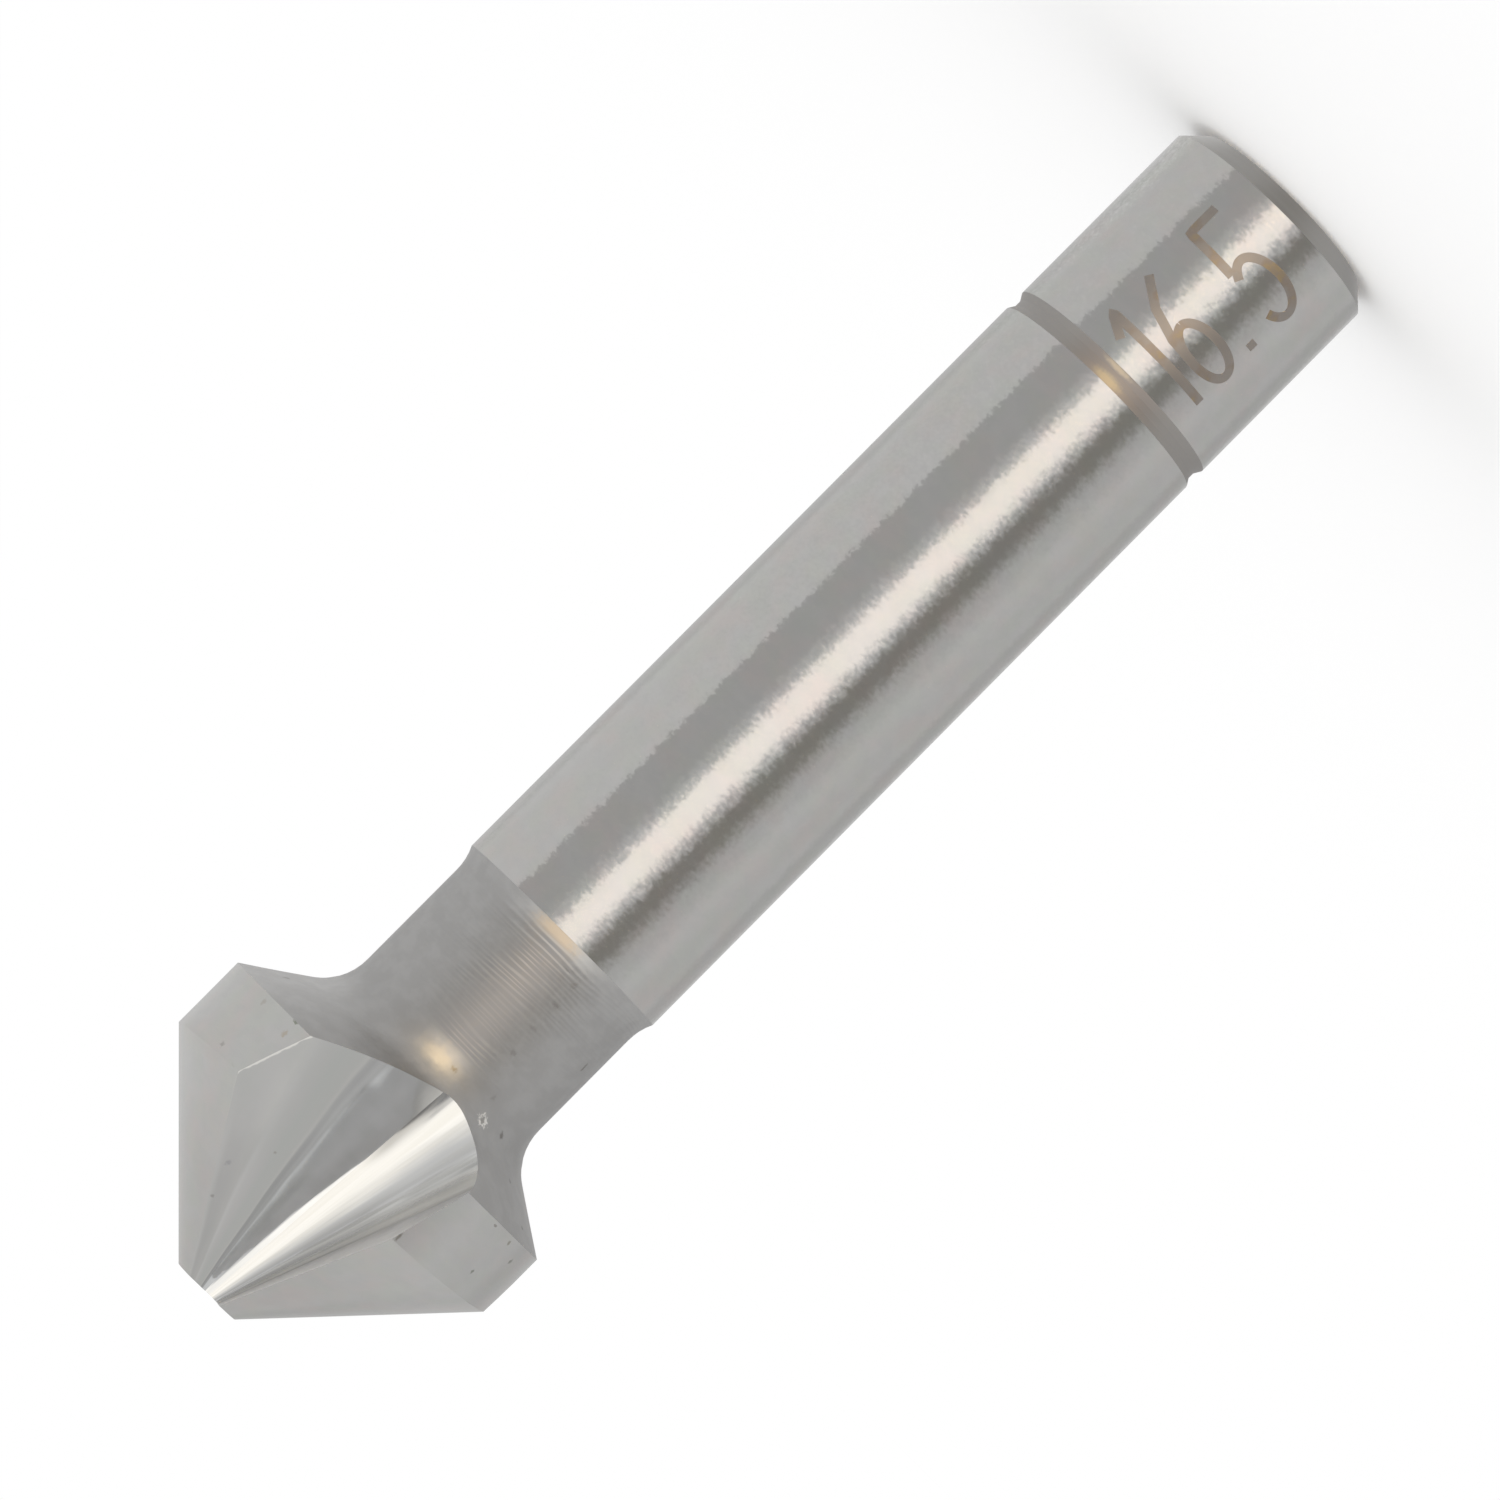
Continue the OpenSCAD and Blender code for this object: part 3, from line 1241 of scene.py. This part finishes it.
@dataclass(frozen=True)
class SizeFigures:
    """The plain size number on the shank, read from the tip side towards the end.

    Each stroke is a thin closed strip that hugs the shank, so its burnt surface lies on the ground one.
    """

    radius: float
    # Where the number starts along the shank, and the angle of its foot round it
    first_height: float = 8.93
    foot_turn: float = 39.0
    stroke_width: float = 0.38
    proud: float = 0.008
    # Strips that cross stand at their own heights, so neither shows through the other
    step: float = 0.001
    sunk: float = 0.02
    point_gap: float = 0.15
    bowl_steps: int = 60
    # Strokes as points of distance along the shank and height round it
    strokes: tuple[tuple[tuple[float, float], ...], ...] = (
        ((0.15, 4.35), (0.72, 5.38), (0.72, 0.2)),
        ((2.75, 5.38), (1.95, 4.2), (1.55, 2.9), (1.5, 1.75)),
        ((3.72, 0.2), (3.72, 0.55)),
        ((6.45, 5.38), (5.05, 5.38), (4.97, 3.0)),
    )
    # Bowls as middle, half width, half height, and first and last angle in degrees
    bowls: tuple[tuple[tuple[float, float], ...], ...] = (
        ((2.17, 1.62), (0.67, 1.42), (90.0, 450.0)),
        ((5.62, 1.7), (0.76, 1.5), (140.0, -145.0)),
    )

    def build(self) -> bpy.types.Object:
        """Makes the figures as one piece that rides on the bit.

        Returns:
            The figures.
        """
        points, faces = [], []
        for order, line in enumerate(self.lines()):
            self._add_strip(line, self.proud + self.step * order, points, faces)
        figures = new_object("size_figures", points, faces, self._burnt_steel())
        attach(figures, BODY)
        return figures

    def lines(self) -> list[np.ndarray]:
        """Works out the middle lines of all strokes and bowls.

        Returns:
            Each line's points, close together.
        """
        lines = []
        for stroke in self.strokes:
            parts = [np.array(stroke[:1])]
            for first, last in zip(stroke, stroke[1:]):
                steps = max(2, int(math.dist(first, last) / self.point_gap))
                share = np.linspace(0, 1, steps + 1)[1:, None]
                parts.append(np.array(first) * (1 - share) + np.array(last) * share)
            lines.append(np.concatenate(parts))
        for (middle_x, middle_y), (half_x, half_y), (first, last) in self.bowls:
            turn = np.radians(np.linspace(first, last, self.bowl_steps + 1))
            bowl = [middle_x + half_x * np.cos(turn), middle_y + half_y * np.sin(turn)]
            lines.append(np.stack(bowl, axis=1))
        return lines

    def _add_strip(self, line: np.ndarray, proud: float, points: list, faces: list) -> None:
        """Adds a closed strip along one line.

        Args:
            line: the line's points.
            proud: how far the strip stands above the shank.
            points: the mesh's points so far.
            faces: its faces so far.
        """
        along = np.gradient(line, axis=0)
        along /= np.linalg.norm(along, axis=1)[:, None]
        side = np.stack([-along[:, 1], along[:, 0]], axis=1) * self.stroke_width / 2
        start = len(points)
        for middle, offset in zip(line, side):
            left, right = middle + offset, middle - offset
            ring = ((left, proud), (right, proud), (right, -self.sunk), (left, -self.sunk))
            points.extend(self._wrapped(place, lift) for place, lift in ring)
        count = len(line)
        for step in range(count - 1):
            base = start + 4 * step
            for edge in range(4):
                after = (edge + 1) % 4
                faces.append((base + edge, base + after, base + 4 + after, base + 4 + edge))
        faces.append((start + 3, start + 2, start + 1, start))
        end = start + 4 * (count - 1)
        faces.append((end, end + 1, end + 2, end + 3))

    def _wrapped(self, place: np.ndarray, lift: float) -> tuple[float, float, float]:
        """Lays a flat point round the shank.

        Args:
            place: its distance along the shank and height round it.
            lift: how far it stands above the shank.

        Returns:
            The point in metres.
        """
        turn = math.radians(self.foot_turn) - place[1] / self.radius
        radius = (self.radius + lift) * MM
        return (-radius * math.sin(turn), -radius * math.cos(turn), (self.first_height - place[0]) * MM)

    @staticmethod
    def _burnt_steel() -> bpy.types.Material:
        """Makes steel that a marking laser burnt to a dull brown with straw and red tints.

        Returns:
            The material.
        """
        material, graph = new_material("tool_steel_laser_burnt")
        here = graph.add("TexCoord", output="Object")
        # Tints change over about half a millimetre
        tint = graph.add("TexNoise", {"Vector": here, "Scale": 1.0 / MM, "Detail": 3.0})
        stops = [
            (0.3, linear("#9E9893")), (0.5, linear("#A29B95")), (0.6, linear("#9F948A")),
            (0.68, linear("#AA9A7F")), (0.75, linear("#A1887F")),
        ]
        burnt = graph.add("ValToRGB", {"Fac": tint}, stops=stops)
        # A burnt skin is matt beside the ground steel
        steel = {"Base Color": burnt, "Metallic": 1.0, "Roughness": 0.45}
        shader = graph.add("BsdfPrincipled", steel)
        graph.add("OutputMaterial", {"Surface": shader})
        return material


class Outline(Enum):
    """Shape of a panel on the tent's wall."""

    OBLONG = "straight sides"
    OVAL = "round"


@dataclass(frozen=True)
class Panel:
    """A lit or shaded stretch of the tent's wall, in degrees as seen from the bit.

    Azimuth 0 is towards the camera and grows towards -X, and elevation is above the horizon.
    """

    azimuth: tuple[float, float]
    elevation: tuple[float, float]
    soft_azimuth: tuple[float, float]
    soft_elevation: float
    level: float
    colour: str = "#FFFFFF"
    outline: Outline = Outline.OBLONG
    taper: float = 0.0

    def cover(self, azimuth: np.ndarray, elevation: np.ndarray) -> np.ndarray:
        """Says how much of the wall the panel covers at each direction.

        Args:
            azimuth: the directions' azimuths.
            elevation: their elevations.

        Returns:
            Shares from 0 to 1.
        """
        drawn_in = self.taper * np.abs(elevation - sum(self.elevation) / 2)
        low, high = self.azimuth[0] + drawn_in, self.azimuth[1] - drawn_in
        sides = np.minimum(
            self._eased((azimuth - low) / self.soft_azimuth[0] + 1),
            self._eased((high - azimuth) / self.soft_azimuth[1] + 1),
        )
        bottom, top = self.elevation
        ends = np.minimum(
            self._eased((elevation - bottom) / self.soft_elevation + 1),
            self._eased((top - elevation) / self.soft_elevation + 1),
        )
        if self.outline is Outline.OBLONG:
            return sides * ends
        across = np.maximum(low - azimuth, 0) / self.soft_azimuth[0]
        across += np.maximum(azimuth - high, 0) / self.soft_azimuth[1]
        up = np.maximum(bottom - elevation, 0) + np.maximum(elevation - top, 0)
        return self._eased(1 - np.hypot(across, up / self.soft_elevation))

    @staticmethod
    def _eased(share: np.ndarray) -> np.ndarray:
        """Returns shares cut to 0 and 1, with a soft start and end."""
        cut = np.clip(share, 0, 1)
        return cut * cut * (3 - 2 * cut)


@dataclass(frozen=True)
class LightTent:
    """A white tent round the bit, whose wall is brighter at the lamps and darker at the flags.

    Only the steel's reflections see it. The floor and the camera see the plain white world. Its
    own sizes are in metres.
    """

    radius: float = 1.0
    middle: Vector = field(default_factory=lambda: Vector((0.0, 0.0, 0.03)))
    # A bare wall is a little darker than the white world, so bare steel comes out as photographed
    wall: float = 0.69
    panels: tuple[Panel, ...] = (
        # Walls to the left and right of the bit, and behind it
        Panel((-150, -62), (-40, 60), (20, 20), 20, 1.08),
        Panel((-150, -62), (-60, -9), (20, 20), 5, 1.02),
        Panel((-172, -142), (-40, -4), (8, 14), 8, 0.9),
        Panel((105, 150), (-40, 8), (30, 20), 10, 0.92),
        Panel((134, 172), (-40, 2), (16, 8), 8, 0.78),
        Panel((165, 200), (-60, -6), (14, 14), 12, 0.9),
        Panel((-200, -165), (-60, -6), (14, 14), 12, 0.85),
        Panel((-178, -135), (-38, -16), (8, 20), 8, 1.35),
        # Brighter wall above on the right, which the flutes' backs see
        Panel((62, 100), (20, 60), (4, 25), 10, 1.12),
        # Greyer wall behind on the right, which the land on that side sees
        Panel((122, 175), (24, 60), (20, 10), 14, 1.0),
        Panel((152, 185), (10, 30), (14, 10), 12, 0.85),
        # Flag beside the front lamp, which darkens the shank's left middle
        Panel((-60, -27), (-50, 6), (0.6, 16), 10, 0.72),
        # Narrow dark flag on the other side of the front lamp, and the grey beside it
        Panel((40, 57), (-50, 6), (6, 24), 6, 0.85),
        Panel((31, 38), (-50, 6), (12, 21), 6, 0.43, "#FFFBF4"),
        # Front lamp
        Panel((-6.5, 12), (-24, 16), (9.5, 12), 8, 1.99, "#FFF8F3", taper=0.35),
        # Low warm lamp in front, which lights the fillet behind the head
        Panel((-3, 3), (-38, -31), (12, 12), 12, 12.0, "#FFDFA8", Outline.OVAL),
        Panel((-56, -36), (18, 40), (12, 12), 8, 1.22),
        # Large soft lamp above the front, which fades out over the far side of the gullet
        Panel((2, 34), (28, 52), (57, 18), 14, 2.45, "#FFFCF6"),
        # Dark wall under the bit, a painted shade that stands in for the shaded ground beneath it in the
        # steel's reflections
        Panel((-200, 200), (-90, -80), (1, 1), 8, 0.35),
    )

    def build(self) -> bpy.types.Object:
        """Makes the tent's wall.

        Returns:
            The wall, which is no part of the bit.
        """
        # The cloth is cut into one square for each degree
        columns, rows = 360, 181
        azimuth, elevation = np.meshgrid(np.arange(columns) - 180.0, np.linspace(-90, 90, rows))
        around, up = np.radians(azimuth), np.radians(elevation)
        points = np.stack(
            [-np.sin(around) * np.cos(up), -np.cos(around) * np.cos(up), np.sin(up)], axis=-1
        )
        points = points.reshape(-1, 3) * self.radius + np.array(self.middle)
        corner = np.arange(columns * (rows - 1)).reshape(rows - 1, columns)
        beside = np.roll(corner, -1, axis=1)
        faces = np.stack([corner, beside, beside + columns, corner + columns], axis=-1).reshape(-1, 4)
        tent = new_object("light_tent", points.tolist(), faces.tolist(), self._cloth())
        levels = tent.data.color_attributes.new("wall_light", "FLOAT_COLOR", "POINT")
        levels.data.foreach_set("color", self.light(azimuth, elevation).reshape(-1))
        for sight in ("camera", "diffuse", "transmission", "volume_scatter", "shadow"):
            setattr(tent, f"visible_{sight}", False)
        return tent

    def light(self, azimuth: np.ndarray, elevation: np.ndarray) -> np.ndarray:
        """Works out the wall's light.

        Args:
            azimuth: azimuths of the wall's points.
            elevation: their elevations.

        Returns:
            Linear red, green, blue and alpha at each point.
        """
        wall = np.ones(azimuth.shape + (4,), np.float32)
        for panel in self.panels:
            cover = panel.cover(azimuth, elevation)[..., None]
            light = np.array(linear(panel.colour)) * panel.level
            wall = wall * (1 - cover) + light * cover
        wall *= self.wall
        wall[..., 3] = 1.0
        return wall.astype(np.float32)

    @staticmethod
    def _cloth() -> bpy.types.Material:
        """Makes the lit cloth of the wall, which glows as its points say.

        Returns:
            The material.
        """
        material, graph = new_material("tent_cloth_woven")
        light = graph.add("Attribute", output="Color", attribute_name="wall_light")
        glow = graph.add("Emission", {"Color": light, "Strength": 1.0})
        graph.add("OutputMaterial", {"Surface": glow})
        material.cycles.emission_sampling = "NONE"
        return material


@dataclass(frozen=True)
class StudioCamera:
    """The photograph's camera, fitted to the rings and edges of the bit.

    It looks almost square at the standing bit from the front, rolled so that the tip points down left.
    Its place is in millimetres, and its angles are in degrees.
    """

    distance: float = 296.28
    height: float = 48.65
    tilt: float = -3.606
    pan: float = 0.0198
    roll: float = 135.178
    lens: float = 181.23
    sensor: float = 36.0

    def build(self) -> bpy.types.Object:
        """Makes the camera and hands it to the scene.

        Returns:
            The camera.
        """
        look = Matrix.Rotation(math.radians(self.pan), 3, "Z")
        look = look @ Matrix.Rotation(math.radians(self.tilt), 3, "X")
        forward, level_right, level_down = (look @ Vector(v) for v in ((0, 1, 0), (1, 0, 0), (0, 0, -1)))
        cosine, sine = math.cos(math.radians(self.roll)), math.sin(math.radians(self.roll))
        right = cosine * level_right + sine * level_down
        down = cosine * level_down - sine * level_right
        data = bpy.data.cameras.new("studio_camera")
        data.lens = self.lens
        data.sensor_width = self.sensor
        data.clip_start = self.distance * MM / 100
        camera = bpy.data.objects.new("studio_camera", data)
        turned = Matrix((right, -down, -forward)).transposed().to_4x4()
        camera.matrix_world = Matrix.Translation((0.0, -self.distance * MM, self.height * MM)) @ turned
        bpy.context.scene.collection.objects.link(camera)
        bpy.context.scene.camera = camera
        return camera


@dataclass(frozen=True)
class Studio:
    """Plain pale floor and white world."""

    # In metres
    floor_side: float = 8.0
    floor_colour: str = "#FFFFFF"

    def build(self) -> bpy.types.Object:
        """Makes the floor and the world.

        Returns:
            The floor, which is no part of the bit.
        """
        scene = bpy.context.scene
        scene.view_settings.view_transform = "Standard"
        world = bpy.data.worlds.new("studio_world")
        scene.world = world
        world.use_nodes = True
        graph = Graph(world.node_tree)
        sky = graph.add("Background", {"Color": linear("#FFFFFF"), "Strength": 1.0})
        graph.add("OutputWorld", {"Surface": sky})
        half = self.floor_side / 2
        corners = [(-half, -half, 0.0), (half, -half, 0.0), (half, half, 0.0), (-half, half, 0.0)]
        floor = new_object("floor", corners, [(0, 1, 2, 3)], self._paper())
        # The photographed bit hung free, so its steel doesn't show the floor
        floor.visible_glossy = False
        return floor

    def _paper(self) -> bpy.types.Material:
        """Makes the floor's matt white paper, which has no sheen at all.

        Returns:
            The material.
        """
        material, graph = new_material("backdrop_paper_matt")
        paper = {"Base Color": linear(self.floor_colour), "Roughness": 1.0, "Specular IOR Level": 0.0}
        shader = graph.add("BsdfPrincipled", paper)
        graph.add("OutputMaterial", {"Surface": shader})
        return material


def main() -> None:
    """Builds the studio and dresses the bit."""
    logging.basicConfig(level=logging.INFO, format="%(name)s: %(message)s")
    StudioCamera().build()
    Studio().build()
    LightTent().build()
    bit = CountersinkBit.from_frame(frame["nodes"][BIT], frame["record"])
    bit.dress(steel_finishes())
    log.info("dressed %s", bit.node.name)
    figures = SizeFigures(bit.sizes.shank_radius).build()
    log.info("built %s", figures.name)


if __name__ == "__main__":
    main()
